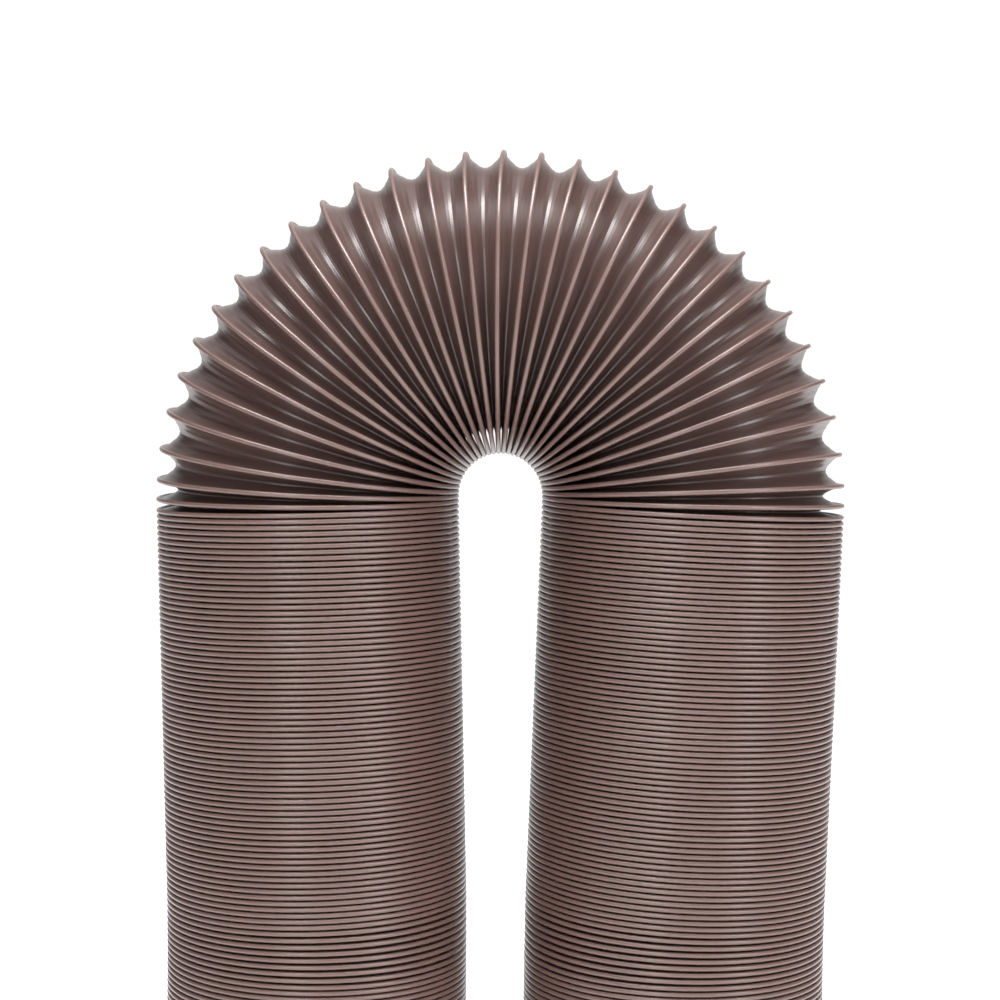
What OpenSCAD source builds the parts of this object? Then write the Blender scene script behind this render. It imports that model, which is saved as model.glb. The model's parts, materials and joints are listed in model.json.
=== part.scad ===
// Flexible air duct, bent into an arch and standing on its two ends.
// A steel spring wire runs inside a soft bead, and a thin film folds inwards between
// the turns of the bead. The legs are packed turn on turn. In the bend the turns fan
// out round their inner contact points, one hinge to each pair of turns.
// X runs from leg to leg, Y through the arch, and Z is up from the floor.

/* [Duct] */
// Outside diameter over the beads
duct_d = 150; // [120:1:200]
// Outside diameter of the bead that holds the wire
bead_d = 2.1; // [1.8:0.1:2.2]
// Diameter of the spring wire
wire_d = 1.1; // [0.8:0.1:1.2]
// Running room between the wire and its bead, on the radius
wire_room = 0.06; // [0.02:0.01:0.1]
// Depth of the folded film below the outside of the bead
fold_depth = 11; // [8:0.5:11]
// Thickness of the film
film_t = 0.25; // [0.2:0.05:0.4]

/* [Legs] */
// Distance between packed turns along a leg
leg_pitch = 2.85; // [2.7:0.05:4]
// Turns in each of the two sections that draw apart
section_turns = 37; // [20:1:45]
// Turns in the section that is fixed to the cuff
foot_turns = 17; // [8:1:24]
// Inward lean of each leg, in degrees
leg_lean = 1.75; // [0:0.25:2.5]

/* [Bend] */
// Distance between neighbouring turns at their inner contact
link = 2.4; // [2.4:0.1:3]
// Number of gaps that fan out fully
full_gaps = 26; // [18:4:26]
// Share of a full gap in the three gaps at each end of the fan, from the leg inwards
end_gaps = [0.2, 0.45, 0.8];
// Depth of the fold on the stretched outside of the bend
outer_fold = 8.5; // [6:0.5:11]

/* [Cuffs] */
// Bore of the cuff, which slides over a spigot
cuff_bore = 125.2; // [100:0.1:130]
// Length of the cuff's straight bore
cuff_len = 30; // [20:1:50]
// Wall of the cuff
cuff_t = 1.8; // [1.2:0.1:3]

/* [Hidden] */
$fn = 48;
section_sides = 8;
film_sides = 40;
groups = 4;
levels = ["foot", "lower", "upper"];
sections = len(levels) - 1;
joint_gap = 0.35;
collar_t = 1.6;
lip_r = 1.6;
bead_r = bead_d / 2;
ring_r = duct_d / 2 - bead_r;
crease_r = duct_d / 2 - fold_depth;
channel_r = wire_d / 2 + wire_room;
gap_count = full_gaps + 2 * len(end_gaps);
turn_count = gap_count - 1;
group_gaps = gap_count / groups;
wires = [for (k = [1:turn_count]) str("wire_turn_", k)];
arch_nodes = [for (what = ["film", "beads"]) for (g = [1:groups])
    str("arch_", what, "_", g)];
sides = ["left", "right"];
leg_nodes = [for (side = sides) for (level = levels) for (what = ["wall", "wire"])
    str(side, "_", level, "_", what)];

// How far each gap fans out, and the lean of each turn after it.
function share(gap) = let (from_end = min(gap, gap_count - 1 - gap))
    from_end < len(end_gaps) ? end_gaps[from_end] : 1;
function share_up_to(gap) = gap == 0 ? 0 : share_up_to(gap - 1) + share(gap - 1);
full_step = (180 + 2 * leg_lean) / share_up_to(gap_count);
function lean(turn) = -leg_lean + full_step * share_up_to(turn);

// Directions in the X-Z plane: along the duct, and outwards across it.
function along(angle) = [sin(angle), cos(angle)];
function outward(angle) = [-cos(angle), sin(angle)];

// Inner point of each turn's bead, hinge by hinge, counted from the left leg's top turn.
function inner_path(turn) = turn == 0 ? [0, 0] :
    inner_path(turn - 1) + link / 2 * (along(lean(turn - 1)) + along(lean(turn)));
path_end = inner_path(gap_count);

// Height of the middle of a leg's top turn, with a level foot and leaning sections above
// it. Its inner edge is higher by the wedge.
foot_h = cuff_len + collar_t + foot_turns * leg_pitch;
section_h = section_turns * leg_pitch;
wedge = ring_r * sin(leg_lean);
leaning_h = sections * section_h - leg_pitch / 2;
leg_h = foot_h + wedge + joint_gap + leaning_h * cos(leg_lean);
shift = [-path_end[0] / 2, leg_h + wedge];
function inner_point(turn) = inner_path(turn) + shift;
function centre(turn) = inner_point(turn) + ring_r * outward(lean(turn));
leg_top = centre(0);
foot_x = leg_top[0] + leaning_h * sin(leg_lean);

// One turn's circle, laid in its own plane in the bend.
module at_turn(turn) {
    translate([centre(turn)[0], 0, centre(turn)[1]])
        rotate([0, lean(turn), 0])
            children();
}

// The wire has eight flat sides, which is round enough at this thickness.
module ring(radius) {
    rotate_extrude() translate([ring_r, 0]) circle(r = radius, $fn = section_sides);
}

module bead_ring() {
    rotate_extrude() translate([ring_r, 0]) difference() {
        circle(r = bead_r);
        circle(r = channel_r);
    }
}

// A point of packed turn n, at an angle round its bead, which is 0 on the outside.
function round_bead(n, angle, radius) =
    [ring_r + radius * cos(angle), n * leg_pitch + radius * sin(angle)];

// Section through packed turns: beads outside, and film folded in below each of them.
module packed_profile(turns) {
    outside = [for (n = [1:turns])
        each concat([[crease_r + film_t, (n - 0.5) * leg_pitch]],
            [for (angle = [-150:60:150]) round_bead(n, angle, bead_r)])];
    inside = [for (n = [turns:-1:1])
        each [round_bead(n, 180, bead_r), [crease_r - film_t, (n - 0.5) * leg_pitch]]];
    channels = [for (n = [1:turns]) for (angle = [0:90:270])
        round_bead(n, angle, channel_r / cos(45))];
    outline = concat(outside, inside);
    polygon(concat(outline, channels), paths = concat([[for (i = [0:len(outline) - 1]) i]],
        [for (n = [0:turns - 1]) [for (i = [0:3]) len(outline) + 4 * n + i]]));
}

module packed_wall(turns) {
    color("#7b6662") translate([0, 0, -leg_pitch / 2])
        rotate_extrude() packed_profile(turns);
}

module packed_wire(turns) {
    color("silver")
        for (n = [0:turns - 1]) translate([0, 0, (n + 0.5) * leg_pitch]) ring(wire_d / 2);
}

// Places a leg's section: the foot is level, and the others lean above it.
module in_leg(side, level) {
    up = level == "upper" ? section_h : 0;
    mirror([side == "right" ? 1 : 0, 0, 0]) {
        if (level == "foot")
            translate([foot_x, 0, cuff_len + collar_t]) children();
        else
            translate([foot_x - up * sin(leg_lean), 0,
                foot_h + wedge + joint_gap + up * cos(leg_lean)])
                rotate([0, -leg_lean, 0]) children();
    }
}

function turns_in(level) = level == "foot" ? foot_turns : section_turns;

module leg_wall(side, level) {
    in_leg(side, level) packed_wall(turns_in(level));
}

module leg_wire(side, level) {
    in_leg(side, level) packed_wire(turns_in(level));
}

// Soft cuff: a straight bore with a rounded rim to stand on and a collar under the turns.
module cuff(side) {
    bore_r = cuff_bore / 2;
    color("#5f4d4a") mirror([side == "right" ? 1 : 0, 0, 0]) translate([foot_x, 0, 0])
        rotate_extrude() {
            translate([bore_r, 0]) square([cuff_t, cuff_len + collar_t]);
            translate([bore_r, cuff_len]) square([ring_r - bore_r, collar_t]);
            translate([bore_r, 0]) square([cuff_t + lip_r, lip_r]);
        }
}

module wire_turn(turn) {
    color("silver") at_turn(turn) ring(wire_d / 2);
}

// A point of the folded film in one gap, given as [row, height, depth]: row 0 is its edge
// on the turn before it, 1 the crease half way and 2 its edge on the next turn. Angle 0 is
// on the outside of the bend.
film_rows = [[0, 0.02, 0], [1, 0, film_t], [2, -0.02, 0],
    [2, -0.02 - film_t, 0], [1, 0, -film_t], [0, 0.02 + film_t, 0]];
film_edge = ring_r - bead_r - 0.05;
function crease_at(angle) = duct_d / 2
    - (fold_depth + outer_fold) / 2 + (fold_depth - outer_fold) / 2 * cos(angle);
function film_point(gap, row, angle) =
    let (on = row[0] / 2,
        turn_lean = lean(gap) * (1 - on) + lean(gap + 1) * on,
        mid = centre(gap) * (1 - on) + centre(gap + 1) * on,
        radius = (row[0] == 1 ? crease_at(angle) : film_edge) - row[2],
        place = mid + radius * cos(angle) * outward(turn_lean) + row[1] * along(turn_lean))
    [place[0], -radius * sin(angle), place[1]];

module film_fold(gap) {
    last = film_sides - 1;
    points = [for (row = film_rows) for (n = [0:last])
        film_point(gap, row, 360 * n / film_sides)];
    faces = [for (r = [0:len(film_rows) - 1]) for (n = [0:last])
        let (a = r * film_sides + n, b = r * film_sides + (n + 1) % film_sides,
            next = ((r + 1) % len(film_rows)) * film_sides,
            c = next + (n + 1) % film_sides, d = next + n)
        each [[a, b, c], [a, c, d]]];
    polyhedron(points, faces, convexity = 8);
}

// One stretch of the bend's wall: the film folds in its gaps.
module arch_film(group) {
    first = (group - 1) * group_gaps;
    color("#7b6662") for (gap = [first:first + group_gaps - 1]) film_fold(gap);
}

// The beads on the turns of the same stretch.
module arch_beads(group) {
    first = (group - 1) * group_gaps;
    color("#7b6662") for (gap = [first:min(first + group_gaps, turn_count) - 1])
        at_turn(gap + 1) bead_ring();
}

cuff("left");  // left_cuff
cuff("right");  // right_cuff
for (side = sides) for (level = levels) {
    leg_wall(side, level);
    leg_wire(side, level);
}
for (k = [1:turn_count])
    wire_turn(k);
for (g = [1:groups]) {
    arch_film(g);
    arch_beads(g);
}
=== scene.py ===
"""Looks of a wire-sprung flexible air duct, bent into an arch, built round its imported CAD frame.

The wall is one long strip wound into a left-handed helix: a round bead, and a thin film that folds
inwards between one turn of the bead and the next. Lengths are in metres, and turns are counted
along the duct from 0, the top turn of the left leg. Turn 32 is the top turn of the right leg.
"""

import json
import math

import bpy
import numpy as np
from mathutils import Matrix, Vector


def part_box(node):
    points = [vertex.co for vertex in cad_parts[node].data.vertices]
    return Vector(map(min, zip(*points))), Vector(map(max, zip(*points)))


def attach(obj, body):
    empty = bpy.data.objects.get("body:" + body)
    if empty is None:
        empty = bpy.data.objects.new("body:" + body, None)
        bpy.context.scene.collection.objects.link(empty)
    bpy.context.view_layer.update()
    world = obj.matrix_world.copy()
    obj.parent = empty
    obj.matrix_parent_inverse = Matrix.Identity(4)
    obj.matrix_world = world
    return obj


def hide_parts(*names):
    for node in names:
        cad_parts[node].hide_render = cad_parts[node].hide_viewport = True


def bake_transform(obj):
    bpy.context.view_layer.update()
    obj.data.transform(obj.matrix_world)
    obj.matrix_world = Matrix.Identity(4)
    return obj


bl_info = {
    "name": "Flexible Air Duct",
    "version": (1, 0, 0),
    "blender": (4, 5, 0),
    "location": "View3D > Sidebar > Duct",
    "description": "Builds a pleated, wire-sprung air duct and a small studio round its CAD frame",
    "category": "Add Mesh",
}

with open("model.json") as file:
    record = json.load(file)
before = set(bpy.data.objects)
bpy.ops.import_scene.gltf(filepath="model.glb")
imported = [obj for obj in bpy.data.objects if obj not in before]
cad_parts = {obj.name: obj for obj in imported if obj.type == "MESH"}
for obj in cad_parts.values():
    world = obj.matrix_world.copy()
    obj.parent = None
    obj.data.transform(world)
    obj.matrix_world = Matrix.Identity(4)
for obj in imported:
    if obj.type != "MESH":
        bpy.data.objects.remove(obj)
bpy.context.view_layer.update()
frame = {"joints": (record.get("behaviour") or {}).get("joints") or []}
MM = 0.001
BENDS = [j for j in frame["joints"] if j["name"].startswith("bend_")]
GAPS = len(BENDS)
# Stretches in which CAD holds the film and the beads of the bend.
STRETCHES = 4
# Packed turns in the part of a leg that is fixed to its cuff, and in a whole leg.
FOOT_TURNS = 17
LEG_TURNS = 91
# Turns above and below the top of the foot over which the kink of a leg is shared out.
KINK_TURNS = 4
# Part of a turn that the strip runs on past the last turn of a leg.
END_RUN = 0.3
# Columns across the film and sides round the bead, in the bend and in the legs.
BEND_COLUMNS, BEND_SIDES = 37, 12
LEG_COLUMNS, LEG_SIDES = 5, 8


def span(node, axis):
    """Lowest and highest place of a CAD node along an axis."""
    low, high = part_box(node)
    return low[axis], high[axis]


DUCT_RADIUS = (span("left_foot_wall", 0)[1] - span("left_foot_wall", 0)[0]) / 2
CAD_BEAD = 2.1 * MM
RING_RADIUS = DUCT_RADIUS - CAD_BEAD / 2
FOOT_X = sum(span("left_foot_wall", 0)) / 2
CUFF_TOP = span("left_cuff", 2)[1]
LEG_PITCH = 2.85 * MM


# ---------------------------------------------------------------- the line that the duct follows


def along(lean):
    """Unit vectors along the duct, in the X-Z plane, for leans in degrees."""
    a = np.radians(lean)
    return np.stack([np.sin(a), np.zeros_like(a), np.cos(a)], -1)


def outward(lean):
    """Unit vectors towards the outside of the bend, in the X-Z plane."""
    a = np.radians(lean)
    return np.stack([-np.cos(a), np.zeros_like(a), np.sin(a)], -1)


def duct_line():
    """Places of the inner edge and leans of the turns, at the turn counts where they change course.

    Within a gap the inner edge runs straight from hinge to hinge. A leg is straight, and its
    kink above the foot is shared out over the turns round it.
    """
    hinges = np.array([j["pos_m"] for j in BENDS])
    steps = [-j["range_deg"][0] for j in BENDS]
    first = -(sum(steps) - 180) / 2
    leans = first + np.concatenate([[0], np.cumsum(steps)])
    link = np.linalg.norm(hinges[1] - hinges[0])
    start = hinges[0] - link / 2 * along(leans[0])
    kink_top = FOOT_TURNS + KINK_TURNS
    kink_foot = FOOT_TURNS - KINK_TURNS
    lean_turns = LEG_TURNS - 1 - kink_top
    foot_turns = LEG_TURNS - 1 - kink_foot
    foot_edge = FOOT_X + RING_RADIUS
    leaning = start - lean_turns * LEG_PITCH * along(leans[0])
    upright = np.array([foot_edge, 0, CUFF_TOP + (kink_foot + 0.5) * LEG_PITCH])
    end = np.array([foot_edge, 0, CUFF_TOP])
    left_at = np.array([0.5 - LEG_TURNS, -foot_turns, -lean_turns, 0])
    left = np.array([end, upright, leaning, start])
    mirror = np.array([-1, 1, 1])
    inner_at = np.concatenate([left_at, np.arange(GAPS) + 0.5, GAPS - left_at[::-1]])
    inner = np.concatenate([left, hinges, left[::-1] * mirror])
    lean_at = np.concatenate([left_at[:3], np.arange(GAPS + 1), GAPS - left_at[2::-1]])
    lean = np.concatenate([[0, 0, leans[0]], leans, [leans[-1], 180, 180]])
    return inner_at, inner, lean_at, lean


INNER_AT, INNER, LEAN_AT, LEAN = duct_line()


def edge_and_lean(turn):
    """Inner edge and lean at each turn count, whole or not."""
    edge = np.stack([np.interp(turn, INNER_AT, INNER[:, i]) for i in range(3)], -1)
    return edge, np.interp(turn, LEAN_AT, LEAN)


def bead_line(turn):
    """Centre of the bead: a left-handed helix that is on the outside of the bend at whole turns."""
    edge, lean = edge_and_lean(turn)
    angle = (2 * math.pi * turn)[:, None]
    across = outward(lean) * (1 + np.cos(angle)) + np.array([0, 1, 0]) * np.sin(angle)
    return edge + RING_RADIUS * across


def inwards(turn):
    """Unit vectors from the middle of the film between two turns towards the middle of the duct."""
    lean = edge_and_lean(turn + 0.5)[1]
    angle = (2 * math.pi * turn)[:, None]
    return -(outward(lean) * np.cos(angle) + np.array([0, 1, 0]) * np.sin(angle))


# ---------------------------------------------------------------- settings


class DuctWallSettings(bpy.types.PropertyGroup):
    bead: bpy.props.FloatProperty(
        name="Bead", description="Diameter of the bead over the wire", default=2.3 * MM, unit="LENGTH")
    film: bpy.props.FloatProperty(
        name="Film", description="Thickness of the film", default=0.3 * MM, unit="LENGTH")
    closed_fold: bpy.props.FloatProperty(
        name="Closed fold", description="Depth of the fold where the turns are packed",
        default=14 * MM, unit="LENGTH")
    open_fold: bpy.props.FloatProperty(
        name="Open fold", description="Depth of the fold on the outside of the bend",
        default=8.5 * MM, unit="LENGTH")
    sharpness: bpy.props.FloatProperty(
        name="Sharpness", description="1 is a straight-sided fold, 2 a rounded one", default=1.5)
    flute: bpy.props.FloatProperty(
        name="Flute", description="Height of the fine ridges along the film",
        default=0.12 * MM, unit="LENGTH")
    crease: bpy.props.FloatProperty(
        name="Crease", description="Height of the pressed ridge along the middle of the film",
        default=0.5 * MM, unit="LENGTH")
    flutes: bpy.props.IntProperty(
        name="Flutes", description="Fine ridges on each side of a fold", default=3)
    bend_rows: bpy.props.IntProperty(
        name="Rows in the bend", description="Sections round one turn in the bend", default=120)
    leg_rows: bpy.props.IntProperty(
        name="Rows in the legs", description="Sections round one turn in the legs", default=72)
    colour: bpy.props.StringProperty(
        name="Colour", description="Body colour of the wall, as sRGB hex", default="#4a3834")
    # The bead colour is paler than the wall colour: painted light on the crests of the turns.
    bead_colour_painted_lit: bpy.props.StringProperty(
        name="Bead colour", description="Colour of the bead, as sRGB hex", default="#634d48")


class CuffSettings(bpy.types.PropertyGroup):
    ribs: bpy.props.IntProperty(
        name="Ribs", description="Grip ribs round the cuff", default=4)
    rib: bpy.props.FloatProperty(
        name="Rib", description="Height of a grip rib", default=0.7 * MM, unit="LENGTH")
    sides: bpy.props.IntProperty(name="Sides", description="Faces round the cuff", default=128)
    colour: bpy.props.StringProperty(
        name="Colour", description="Colour of the cuffs, as sRGB hex", default="#43322f")


class StageSettings(bpy.types.PropertyGroup):
    distance: bpy.props.FloatProperty(
        name="Distance", description="From the camera to the duct", default=1.117, unit="LENGTH")
    height: bpy.props.FloatProperty(
        name="Height", description="Of the camera above the floor", default=0.3495, unit="LENGTH")
    lens: bpy.props.FloatProperty(
        name="Lens", description="Focal length in millimetres", default=80.9)
    key: bpy.props.FloatProperty(name="Key", description="Power of the front lights in watts", default=11.5)


# ---------------------------------------------------------------- materials


def linear(hex_colour):
    """An sRGB hex colour as linear red, green, blue and an alpha of 1."""
    parts = [int(hex_colour[i:i + 2], 16) / 255 for i in (1, 3, 5)]
    return [p / 12.92 if p <= 0.04045 else ((p + 0.055) / 1.055) ** 2.4 for p in parts] + [1]


def add(tree, kind, links=(), **settings):
    """Adds a node. Links are (its input, another node's output), and settings are its properties
    or, for names that start with a capital, its inputs' values."""
    node = tree.nodes.new(kind)
    for name, value in settings.items():
        if name[0].isupper():
            node.inputs[name.replace("_", " ")].default_value = value
        else:
            setattr(node, name, value)
    for socket, source in links:
        tree.links.new(source, node.inputs[socket])
    return node


def new_material(name):
    material = bpy.data.materials.new(name)
    material.use_nodes = True
    material.node_tree.nodes.clear()
    return material, material.node_tree


def finish_material(tree, shader):
    add(tree, "ShaderNodeOutputMaterial", [("Surface", shader.outputs[0])])


def ramp(tree, source, stops):
    """A colour ramp with stops given as (place, grey value or colour)."""
    node = add(tree, "ShaderNodeValToRGB", [("Fac", source)])
    elements = node.color_ramp.elements
    while len(elements) < len(stops):
        elements.new(0.5)
    for element, (place, value) in zip(elements, stops):
        element.position = place
        element.color = value if hasattr(value, "__len__") else (value, value, value, 1)
    return node


def extruded_pvc(settings):
    """Extruded soft PVC: glossy, with a faint cloudiness from the plasticiser. The film carries fine draw
    lines along its length, and the bead is painted paler than the film: painted light on the crests, which
    catch the light while the folds lie in shade."""
    material, tree = new_material("Extruded soft PVC")
    place = add(tree, "ShaderNodeTexCoord").outputs["Object"]
    share = add(tree, "ShaderNodeAttribute", attribute_name="across").outputs["Fac"]
    turn = add(tree, "ShaderNodeAttribute", attribute_name="turn").outputs["Fac"]
    bead = add(tree, "ShaderNodeAttribute", attribute_name="on_bead").outputs["Fac"]
    # Draw lines 0.4 mm apart across a film about 24 mm wide, and drawn out along the strip.
    strip = add(tree, "ShaderNodeCombineXYZ", [("X", share), ("Y", turn)])
    lines = add(tree, "ShaderNodeMapping", [("Vector", strip.outputs[0])], Scale=(60, 1.5, 1))
    draw = add(tree, "ShaderNodeTexNoise", [("Vector", lines.outputs[0])], Scale=1, Detail=2)
    cloud = add(tree, "ShaderNodeTexNoise", [("Vector", place)], Scale=45, Detail=4, Roughness=0.6)
    # Moulding grain of 0.5 mm, drawn coarser than the real grain so that it shows.
    grain = add(tree, "ShaderNodeTexNoise", [("Vector", place)], Scale=2000, Detail=2)
    # The bead is painted paler than the film: painted light on the crests, which catch the light while the
    # folds lie in shade.
    dark, pale = linear(settings.colour), linear(settings.bead_colour_painted_lit)
    tint = add(tree, "ShaderNodeMix", [("Factor", bead)], data_type="RGBA")
    tint.inputs["A"].default_value = dark
    tint.inputs["B"].default_value = pale
    tone = ramp(tree, cloud.outputs["Fac"], [(0.3, 0.9), (0.7, 1.0)])
    body = add(tree, "ShaderNodeMix", data_type="RGBA", blend_type="MULTIPLY")
    body.inputs["Factor"].default_value = 1
    tree.links.new(tint.outputs["Result"], body.inputs["A"])
    tree.links.new(tone.outputs["Color"], body.inputs["B"])
    rough = add(tree, "ShaderNodeMapRange", [("Value", draw.outputs["Fac"])],
                To_Min=0.24, To_Max=0.36)
    height = add(tree, "ShaderNodeMath", [(0, draw.outputs["Fac"])], operation="MULTIPLY")
    height.inputs[1].default_value = 0.5
    heights = add(tree, "ShaderNodeMath",
                  [(0, height.outputs[0]), (1, grain.outputs["Fac"])], operation="ADD")
    bump = add(tree, "ShaderNodeBump", [("Height", heights.outputs[0])],
               Strength=0.15, Distance=0.05 * MM)
    shader = add(tree, "ShaderNodeBsdfPrincipled",
                 [("Base Color", body.outputs["Result"]), ("Roughness", rough.outputs[0]),
                  ("Normal", bump.outputs[0])], IOR=1.53)
    finish_material(tree, shader)
    return material


def moulded_pvc(settings):
    """Dip-moulded soft PVC of the cuffs: softer gloss than the strip, and a fine matt grain."""
    material, tree = new_material("Moulded soft PVC")
    place = add(tree, "ShaderNodeTexCoord").outputs["Object"]
    grain = add(tree, "ShaderNodeTexNoise", [("Vector", place)], Scale=1600, Detail=3)
    cloud = add(tree, "ShaderNodeTexNoise", [("Vector", place)], Scale=60, Detail=3)
    colour = linear(settings.colour)
    shades = [[c * k for c in colour[:3]] + [1] for k in (0.85, 1.1)]
    tone = ramp(tree, cloud.outputs["Fac"], [(0.3, shades[0]), (0.7, shades[1])])
    rough = add(tree, "ShaderNodeMapRange", [("Value", cloud.outputs["Fac"])],
                To_Min=0.42, To_Max=0.55)
    bump = add(tree, "ShaderNodeBump", [("Height", grain.outputs["Fac"])],
               Strength=0.25, Distance=0.1 * MM)
    shader = add(tree, "ShaderNodeBsdfPrincipled",
                 [("Base Color", tone.outputs["Color"]), ("Roughness", rough.outputs[0]),
                  ("Normal", bump.outputs[0])], IOR=1.53)
    finish_material(tree, shader)
    return material


def studio_floor():
    """Opal acrylic table, lit from below, so that it stays as pale as the background."""
    material, tree = new_material("Opal acrylic table")
    place = add(tree, "ShaderNodeTexCoord").outputs["Object"]
    haze = add(tree, "ShaderNodeTexNoise", [("Vector", place)], Scale=3, Detail=2)
    tone = ramp(tree, haze.outputs["Fac"], [(0.3, 0.93), (0.7, 0.96)])
    shader = add(tree, "ShaderNodeBsdfPrincipled", [("Base Color", tone.outputs["Color"])],
                 Roughness=0.7, Emission_Color=(1, 1, 1, 1), Emission_Strength=0.55)
    finish_material(tree, shader)
    return material


# ---------------------------------------------------------------- the pleated strip


def strip_tree():
    """Geometry nodes that turn a chain of points along the bead into the bead and its film.

    Each point of the chain carries 'to_next', the way to the next turn's bead; 'inward', towards
    the middle of the duct; 'fold', how deep the film folds there; 'turn'; and 'has_film'.
    """
    tree = bpy.data.node_groups.new("Bead and folded film", "GeometryNodeTree")
    face = tree.interface
    face.new_socket("Chain", in_out="INPUT", socket_type="NodeSocketGeometry")
    for name in ("Bead diameter", "Film thickness", "Sharpness", "Flute height", "Crease height"):
        face.new_socket(name, in_out="INPUT", socket_type="NodeSocketFloat")
    for name in ("Bead sides", "Rows", "Columns", "Flutes"):
        face.new_socket(name, in_out="INPUT", socket_type="NodeSocketInt")
    face.new_socket("Material", in_out="INPUT", socket_type="NodeSocketMaterial")
    face.new_socket("Strip", in_out="OUTPUT", socket_type="NodeSocketGeometry")
    given = add(tree, "NodeGroupInput").outputs

    def maths(operation, *values):
        node = add(tree, "ShaderNodeMath", operation=operation)
        for i, value in enumerate(values):
            if isinstance(value, (int, float)):
                node.inputs[i].default_value = value
            else:
                tree.links.new(value, node.inputs[i])
        return node.outputs[0]

    def attribute(name, kind="FLOAT"):
        return add(tree, "GeometryNodeInputNamedAttribute", data_type=kind, Name=name).outputs[0]

    def store(geometry, name, value):
        node = add(tree, "GeometryNodeStoreNamedAttribute",
                   [("Geometry", geometry)], data_type="FLOAT", domain="POINT", Name=name)
        if isinstance(value, (int, float)):
            node.inputs["Value"].default_value = value
        else:
            tree.links.new(value, node.inputs["Value"])
        return node.outputs[0]

    # Bead: a circle swept along the chain, closed at both ends.
    line = add(tree, "GeometryNodeMeshToCurve", [("Mesh", given["Chain"])])
    radius = maths("MULTIPLY", given["Bead diameter"], 0.5)
    section = add(tree, "GeometryNodeCurvePrimitiveCircle",
                  [("Resolution", given["Bead sides"]), ("Radius", radius)])
    bead = add(tree, "GeometryNodeCurveToMesh",
               [("Curve", line.outputs[0]), ("Profile Curve", section.outputs[0])], Fill_Caps=True)
    # on_bead marks the bead, which the PVC material paints paler as painted light on the crests.
    bead = store(store(bead.outputs[0], "on_bead", 1.0), "across", 0.0)

    # Film: a flat grid of rows and columns, carried to the chain row by row.
    length = maths("SUBTRACT", given["Rows"], 1)
    grid = add(tree, "GeometryNodeMeshGrid",
               [("Size X", length), ("Vertices X", given["Rows"]), ("Vertices Y", given["Columns"])],
               Size_Y=1.0)
    flat = add(tree, "ShaderNodeSeparateXYZ", [(0, add(tree, "GeometryNodeInputPosition").outputs[0])])
    row = maths("ROUND", maths("ADD", flat.outputs["X"], maths("MULTIPLY", length, 0.5)))
    share = maths("ADD", flat.outputs["Y"], 0.5)

    def at_row(value, kind):
        node = add(tree, "GeometryNodeSampleIndex",
                   [("Geometry", given["Chain"]), ("Value", value), ("Index", row)],
                   data_type=kind, domain="POINT")
        return node.outputs[0]

    film = grid.outputs["Mesh"]
    kept = {"film_share": share, "film_turn": at_row(attribute("turn"), "FLOAT"),
            "keep": at_row(attribute("has_film"), "FLOAT")}
    for name, value in kept.items():
        film = store(film, name, value)
    share = attribute("film_share")
    from_middle = maths("ABSOLUTE", maths("SUBTRACT", maths("MULTIPLY", share, 2), 1))
    shape = maths("SUBTRACT", 1, maths("POWER", from_middle, given["Sharpness"]))
    flutes = maths("MULTIPLY", from_middle, given["Flutes"])
    wave = maths("COSINE", maths("MULTIPLY", flutes, 2 * math.pi))
    ridge = maths("MULTIPLY", maths("MULTIPLY", wave, given["Flute height"]), shape)
    # The crease is a ridge a twelfth of the film's width, which stands up out of the fold. With
    # few columns it is as wide as they allow.
    film_to_crease = 12
    rise = maths("MAXIMUM", maths("SUBTRACT", 1, maths("MULTIPLY", from_middle, film_to_crease)), 0)
    crease = maths("MULTIPLY", given["Crease height"], rise)
    folded = maths("SUBTRACT", maths("MULTIPLY", at_row(attribute("fold"), "FLOAT"), shape), crease)
    depth = maths("ADD", folded, ridge)
    to_next = at_row(attribute("to_next", "FLOAT_VECTOR"), "FLOAT_VECTOR")
    across = add(tree, "ShaderNodeVectorMath", [("Vector", to_next), ("Scale", share)],
                 operation="SCALE")
    to_middle = at_row(attribute("inward", "FLOAT_VECTOR"), "FLOAT_VECTOR")
    inward = add(tree, "ShaderNodeVectorMath", [("Vector", to_middle), ("Scale", depth)],
                 operation="SCALE")
    offset = add(tree, "ShaderNodeVectorMath",
                 [(0, across.outputs[0]), (1, inward.outputs[0])], operation="ADD")
    point = at_row(add(tree, "GeometryNodeInputPosition").outputs[0], "FLOAT_VECTOR")
    place = add(tree, "ShaderNodeVectorMath", [(0, point), (1, offset.outputs[0])], operation="ADD")
    film = add(tree, "GeometryNodeSetPosition",
               [("Geometry", film), ("Position", place.outputs[0])]).outputs[0]
    bare = maths("LESS_THAN", attribute("keep"), 0.5)
    film = add(tree, "GeometryNodeDeleteGeometry", [("Geometry", film), ("Selection", bare)],
               domain="POINT").outputs[0]
    film = store(store(store(film, "on_bead", 0.0), "across", attribute("film_share")),
                 "turn", attribute("film_turn"))
    skin = add(tree, "GeometryNodeExtrudeMesh",
               [("Mesh", film), ("Offset Scale", given["Film thickness"])],
               mode="FACES", Individual=False)
    back = add(tree, "GeometryNodeFlipFaces", [("Mesh", film)])
    both = add(tree, "GeometryNodeJoinGeometry", [("Geometry", skin.outputs[0])])
    tree.links.new(back.outputs[0], both.inputs[0])
    closed = add(tree, "GeometryNodeMergeByDistance", [("Geometry", both.outputs[0])],
                 Distance=0.002 * MM)

    strip = add(tree, "GeometryNodeJoinGeometry", [("Geometry", closed.outputs[0])])
    tree.links.new(bead, strip.inputs[0])
    smooth = add(tree, "GeometryNodeSetShadeSmooth", [("Geometry", strip.outputs[0])])
    real = add(tree, "GeometryNodeRealizeInstances", [("Geometry", smooth.outputs[0])])
    painted = add(tree, "GeometryNodeSetMaterial",
                  [("Geometry", real.outputs[0]), ("Material", given["Material"])])
    add(tree, "NodeGroupOutput", [("Strip", painted.outputs[0])])
    return tree


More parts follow.
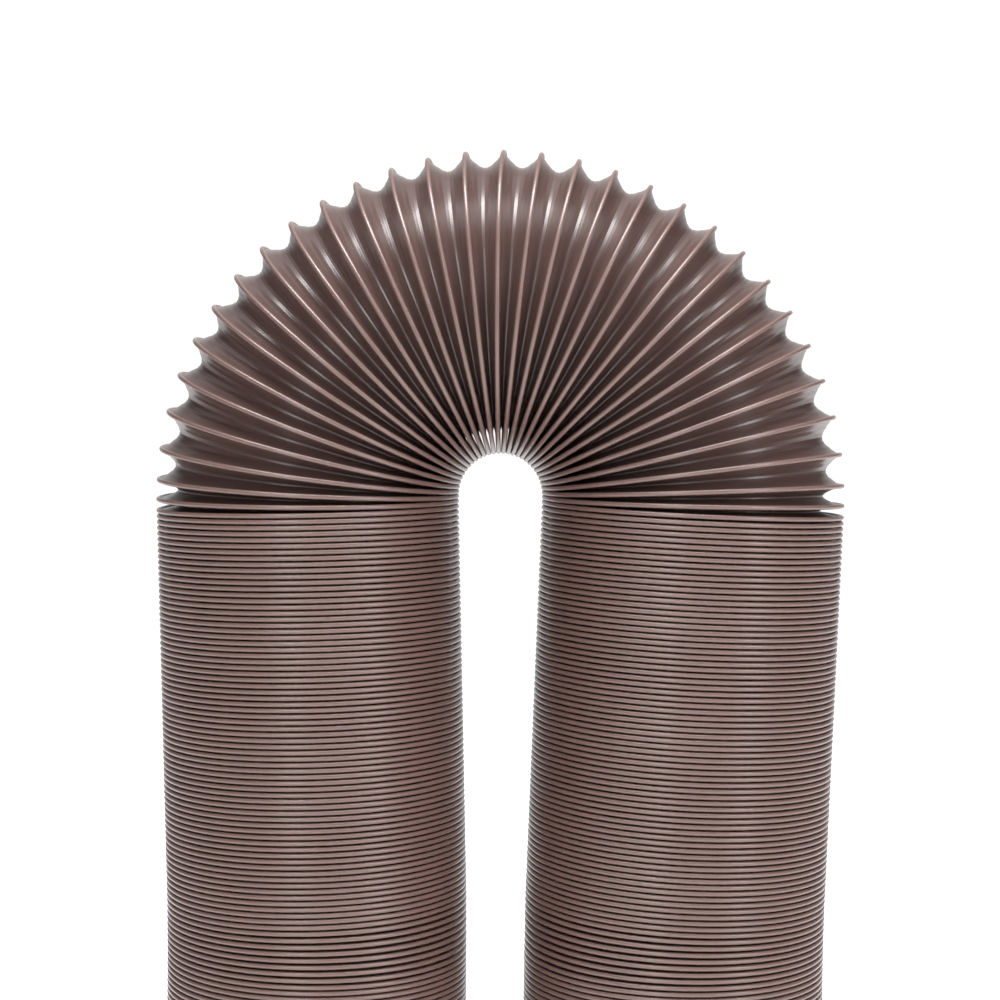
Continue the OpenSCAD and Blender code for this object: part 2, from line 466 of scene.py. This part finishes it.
def chain_object(name, turn, has_film, settings):
    """The chain of points that a strip is built on, with what the strip reads from each point."""
    points = bead_line(turn)
    to_next = bead_line(turn + 1) - points
    gap = np.linalg.norm(to_next, axis=1)
    widest = 2 * RING_RADIUS * math.radians(max(-j["range_deg"][0] for j in BENDS))
    opened = np.clip(gap / widest, 0, 1)
    fold = settings.closed_fold + (settings.open_fold - settings.closed_fold) * opened - CAD_BEAD / 2
    mesh = bpy.data.meshes.new(name)
    mesh.from_pydata(points, [(i, i + 1) for i in range(len(turn) - 1)], [])
    for label, kind, values in (
            ("turn", "FLOAT", turn), ("fold", "FLOAT", fold),
            ("has_film", "FLOAT", has_film.astype(float)),
            ("to_next", "FLOAT_VECTOR", to_next), ("inward", "FLOAT_VECTOR", inwards(turn))):
        data = mesh.attributes.new(label, kind, "POINT").data
        data.foreach_set("value" if kind == "FLOAT" else "vector", np.ravel(values).astype(np.float32))
    return bpy.data.objects.new(name, mesh)


def plain_mesh(holder, name):
    """The evaluated holder as a plain mesh object with no modifier."""
    bpy.context.scene.collection.objects.link(holder)
    bpy.context.view_layer.update()
    evaluated = holder.evaluated_get(bpy.context.evaluated_depsgraph_get())
    mesh = bpy.data.meshes.new_from_object(evaluated)
    mesh.name = name
    bpy.data.objects.remove(holder)
    piece = bpy.data.objects.new(name, mesh)
    bpy.context.scene.collection.objects.link(piece)
    return piece


def strip(name, first, last, rows, columns, sides, tree, material, settings):
    """One stretch of bead and film, between two turn counts."""
    count = int(round((last - first) * rows)) + 1
    turn = np.linspace(first, last, count)
    last_turn = GAPS + LEG_TURNS - 1
    # There is film only where a next turn follows. The margin, less than a row of a leg, takes up
    # rounding.
    margin = 0.01
    has_film = turn + 1 <= last_turn + END_RUN + margin
    holder = chain_object(name + "_chain", turn, has_film, settings)
    modifier = holder.modifiers.new("Bead and folded film", "NODES")
    modifier.node_group = tree
    sizes = {"Bead diameter": settings.bead, "Film thickness": settings.film,
             "Sharpness": settings.sharpness, "Flute height": settings.flute,
             "Crease height": settings.crease,
             "Bead sides": sides, "Rows": count, "Columns": columns,
             "Flutes": settings.flutes, "Material": material}
    for item in tree.interface.items_tree:
        if item.in_out == "INPUT" and item.name in sizes:
            modifier[item.identifier] = sizes[item.name]
    return plain_mesh(holder, name)


def read(piece, label):
    data = piece.data.attributes[label].data
    values = np.zeros(len(data), np.float32)
    data.foreach_get("value", values)
    return values


# ---------------------------------------------------------------- cuffs


def cuff_profile(settings):
    """Half section of a cuff, as radius and height, anticlockwise from the foot of its bore."""
    bore = 62.6 * MM
    wall = 1.8 * MM
    lip = 1.6 * MM
    half_collar = 0.8 * MM
    chamfer = 0.3 * MM
    rounding = 0.5 * MM
    ease = 0.2 * MM
    fillet = 3 * MM
    first_rib = 6 * MM
    without_ribs = 12 * MM
    rib_width = 2.4 * MM
    rib_steps = 8
    top = CUFF_TOP
    collar = top - 2 * half_collar
    outer = bore + wall
    rim = [(bore + chamfer, 0), (outer + lip - rounding, 0), (outer + lip, rounding),
           (outer + lip, lip - rounding), (outer + lip - rounding, lip), (outer + chamfer, lip + ease)]
    ribs = []
    pitch = (collar - without_ribs) / settings.ribs
    for n in range(settings.ribs):
        low = first_rib + n * pitch
        for k in range(rib_steps + 1):
            swell = 0.5 - 0.5 * math.cos(2 * math.pi * k / rib_steps)
            ribs.append((outer + settings.rib * swell, low + rib_width * k / rib_steps))
    root = [(outer + fillet * (1 - math.cos(a)), collar - fillet * (1 - math.sin(a)))
            for a in np.radians(np.linspace(0, 90, 6))]
    edge = [(RING_RADIUS + rounding * math.sin(a), collar + half_collar - half_collar * math.cos(a))
            for a in np.radians(np.linspace(0, 180, 7))]
    mouth = [(bore, top), (bore, chamfer)]
    return rim + ribs + root + edge + mouth


def cuff(side, material, settings):
    """One cuff: its section turned round the leg's foot."""
    profile = cuff_profile(settings)
    sides, count = settings.sides, len(profile)
    centre = FOOT_X if side == "left" else -FOOT_X
    verts, faces = [], []
    for n in range(sides):
        angle = 2 * math.pi * n / sides
        verts += [(centre + r * math.cos(angle), r * math.sin(angle), z) for r, z in profile]
    for n in range(sides):
        for i in range(count):
            a, b = n * count, (n + 1) % sides * count
            j = (i + 1) % count
            faces.append((a + i, b + i, b + j, a + j))
    mesh = bpy.data.meshes.new(f"{side}_soft_cuff")
    mesh.from_pydata(verts, [], faces)
    mesh.shade_smooth()
    mesh.materials.append(material)
    piece = bpy.data.objects.new(mesh.name, mesh)
    bpy.context.scene.collection.objects.link(piece)
    edges = piece.modifiers.new("Edges", "EDGE_SPLIT")
    edges.split_angle = math.radians(50)
    return piece


# ---------------------------------------------------------------- operators


class DUCT_OT_bend(bpy.types.Operator):
    """Build the fanned turns of the bend, each from one turn to the next"""
    bl_idname = "duct.bend"
    bl_label = "Bend"

    def execute(self, context):
        settings = context.scene.duct_wall
        tree, material = strip_tree(), extruded_pvc(settings)
        for gap in range(GAPS):
            piece = strip(f"fanned_turn_{gap}", gap - 0.5, gap + 0.5, settings.bend_rows,
                          BEND_COLUMNS, BEND_SIDES, tree, material, settings)
            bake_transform(piece)
            share, turn = read(piece, "across"), read(piece, "turn")
            if gap > 0:
                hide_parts(f"wire_turn_{gap}")
        for group in range(1, STRETCHES + 1):
            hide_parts(f"arch_film_{group}", f"arch_beads_{group}")
        return {"FINISHED"}


class DUCT_OT_legs(bpy.types.Operator):
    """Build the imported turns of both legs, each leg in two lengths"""
    bl_idname = "duct.legs"
    bl_label = "Legs"

    def execute(self, context):
        settings = context.scene.duct_wall
        tree = bpy.data.node_groups["Bead and folded film"]
        material = bpy.data.materials["Extruded soft PVC"]
        end = LEG_TURNS - 1
        half = end / 2
        # Name, first and last turn, the two bodies, and the turns where each is followed fully.
        lengths = [
            ("left_leg_low", -end - END_RUN, -half - 0.5, "left_foot", "left_lower", -end, -half),
            ("left_leg_high", -half - 0.5, -0.5, "left_lower", "left_upper", -half, 0),
            ("right_leg_high", GAPS - 0.5, GAPS + half - 0.5, "right_upper", "right_lower",
             GAPS, GAPS + half),
            ("right_leg_low", GAPS + half - 0.5, GAPS + end + END_RUN, "right_lower", "right_foot",
             GAPS + half, GAPS + end),
        ]
        for name, first, last, low, high, start, stop in lengths:
            piece = strip(name, first, last, settings.leg_rows, LEG_COLUMNS, LEG_SIDES,
                          tree, material, settings)
            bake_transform(piece)
            place = read(piece, "turn") + read(piece, "across")
            side = name.split("_")[0]
            levels = ("foot",) if name.endswith("low") else ("lower", "upper")
            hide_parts(*[f"{side}_{level}_{what}"
                                 for level in levels for what in ("wall", "wire")])
        return {"FINISHED"}


class DUCT_OT_cuffs(bpy.types.Operator):
    """Build the soft cuff on each end"""
    bl_idname = "duct.cuffs"
    bl_label = "Cuffs"

    def execute(self, context):
        settings = context.scene.duct_cuff
        material = moulded_pvc(settings)
        for side in ("left", "right"):
            piece = cuff(side, material, settings)
            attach(piece, f"{side}_foot")
            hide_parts(f"{side}_cuff")
        return {"FINISHED"}


def area_light(name, place, target, size, power):
    data = bpy.data.lights.new(name, "AREA")
    data.shape, data.size, data.size_y, data.energy = "RECTANGLE", size[0], size[1], power
    lamp = bpy.data.objects.new(name, data)
    bpy.context.scene.collection.objects.link(lamp)
    lamp.location = place
    lamp.rotation_euler = (Vector(target) - Vector(place)).to_track_quat("-Z", "Y").to_euler()
    return lamp


class DUCT_OT_stage(bpy.types.Operator):
    """Set up the floor, the surround, the lights and the camera"""
    bl_idname = "duct.stage"
    bl_label = "Stage"

    def execute(self, context):
        settings = context.scene.duct_stage
        # Metres from the middle of the floor to its edges.
        reach = 12
        corners = [(-reach, -reach, 0), (reach, -reach, 0), (reach, reach, 0), (-reach, reach, 0)]
        mesh = bpy.data.meshes.new("floor")
        mesh.from_pydata(corners, [], [(0, 1, 2, 3)])
        mesh.materials.append(studio_floor())
        floor = bpy.data.objects.new("floor", mesh)
        context.scene.collection.objects.link(floor)
        self.surround(context)
        crown = (0, 0, 0.3)
        tall, wide = (0.4, 1.0), (1.0, 0.5)
        overhead = 2.4 * settings.key
        area_light("left_softbox", (-0.36, -1.4, 0.85), crown, tall, settings.key)
        area_light("right_softbox", (1.05, -0.85, 0.75), crown, tall, settings.key)
        area_light("top_softbox", (0, -0.15, 1.4), crown, wide, overhead)
        data = bpy.data.cameras.new("camera")
        data.lens, data.sensor_width = settings.lens, 36
        camera = bpy.data.objects.new("camera", data)
        context.scene.collection.objects.link(camera)
        aside = -0.8 * MM
        downwards, roll = 2.73, -0.65
        camera.location = (aside, -settings.distance, settings.height)
        camera.rotation_euler = (math.radians(90 - downwards), math.radians(roll), 0)
        context.scene.camera = camera
        context.scene.view_settings.view_transform = "Standard"
        return {"FINISHED"}

    def surround(self, context):
        """A room that is white behind and overhead and dark at the sides and in front, so that the
        duct's edges stay dark. The camera itself sees plain white all round."""
        world = bpy.data.worlds.new("Pale studio")
        world.use_nodes = True
        tree = world.node_tree
        tree.nodes.clear()
        place = add(tree, "ShaderNodeTexCoord").outputs["Generated"]
        way = add(tree, "ShaderNodeSeparateXYZ", [(0, place)])
        wall = add(tree, "ShaderNodeMapRange", [("Value", way.outputs["Y"])],
                   From_Min=0.8, From_Max=0.95, To_Min=0.04, To_Max=1.05)
        ceiling = add(tree, "ShaderNodeMapRange", [("Value", way.outputs["Z"])],
                      From_Min=0.35, From_Max=1.0, To_Min=0.04, To_Max=1.0)
        room = add(tree, "ShaderNodeMath", [(0, wall.outputs[0]), (1, ceiling.outputs[0])],
                   operation="MAXIMUM")
        seen = add(tree, "ShaderNodeLightPath").outputs["Is Camera Ray"]
        glow = add(tree, "ShaderNodeMath", [(0, room.outputs[0]), (1, seen)], operation="MAXIMUM")
        sky = add(tree, "ShaderNodeBackground", [("Strength", glow.outputs[0])], Color=(1, 1, 1, 1))
        add(tree, "ShaderNodeOutputWorld", [("Surface", sky.outputs[0])])
        context.scene.world = world


class DUCT_PT_panel(bpy.types.Panel):
    """Buttons and sizes of the duct"""
    bl_idname = "DUCT_PT_panel"
    bl_label = "Flexible Air Duct"
    bl_space_type = "VIEW_3D"
    bl_region_type = "UI"
    bl_category = "Duct"

    def draw(self, context):
        for group in (context.scene.duct_wall, context.scene.duct_cuff, context.scene.duct_stage):
            for name in group.__annotations__:
                self.layout.prop(group, name)
        for step in STEPS:
            self.layout.operator(step.bl_idname)


STEPS = (DUCT_OT_stage, DUCT_OT_bend, DUCT_OT_legs, DUCT_OT_cuffs)
GROUPS = {"duct_wall": DuctWallSettings, "duct_cuff": CuffSettings, "duct_stage": StageSettings}


def register():
    for kind in (*GROUPS.values(), *STEPS, DUCT_PT_panel):
        bpy.utils.register_class(kind)
    for name, kind in GROUPS.items():
        setattr(bpy.types.Scene, name, bpy.props.PointerProperty(type=kind))


def unregister():
    for name in GROUPS:
        delattr(bpy.types.Scene, name)
    for kind in reversed((*GROUPS.values(), *STEPS, DUCT_PT_panel)):
        bpy.utils.unregister_class(kind)


def main():
    register()
    bpy.ops.duct.stage()
    bpy.ops.duct.bend()
    bpy.ops.duct.legs()
    bpy.ops.duct.cuffs()


if __name__ == "__main__":
    main()
